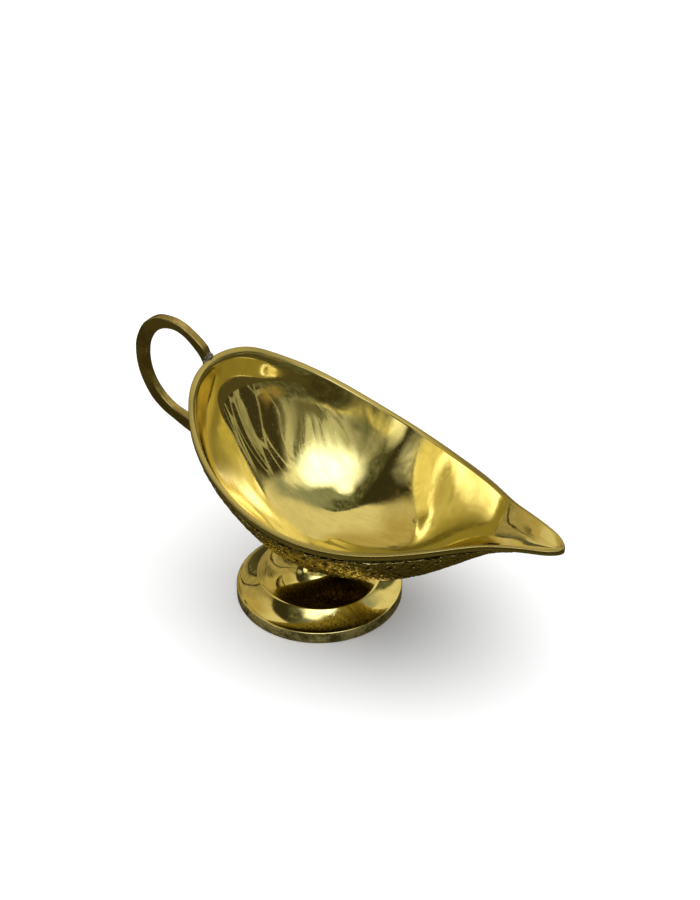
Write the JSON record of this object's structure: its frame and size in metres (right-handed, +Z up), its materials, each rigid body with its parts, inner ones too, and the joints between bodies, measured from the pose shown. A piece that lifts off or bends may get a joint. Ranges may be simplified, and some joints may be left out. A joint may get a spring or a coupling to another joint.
{
  "type": "diya oil lamp",
  "caption": "Footed brass diya oil lamp: egg-shaped open bowl with a raised rear rim, pouring spout for the wick, loop strap handle and round hollow foot.",
  "frame": {"origin": "on the surface that the lamp stands on, under the middle of its bounding box; the foot's axis is 7.6 mm behind it at x = -0.0076 m", "axes": "+X points along the lamp to the spout's tip, +Z up, +Y to the left when looking along the spout"},
  "size_m": [0.1578, 0.077, 0.0878],
  "materials": {
    "polished_brass": "polished",
    "chased_brass": "satin",
    "cast_brass": "satin",
    "solder": "matte",
    "plated_steel": "satin"
  },
  "bodies": {
    "root": {"bowl": "polished_brass", "handle": "cast_brass", "foot": "polished_brass", "fixing_stud": "plated_steel", "washer": "plated_steel", "hex_nut": "plated_steel", "upper_solder": "solder", "lower_solder": "solder"}
  },
  "joints": []
}
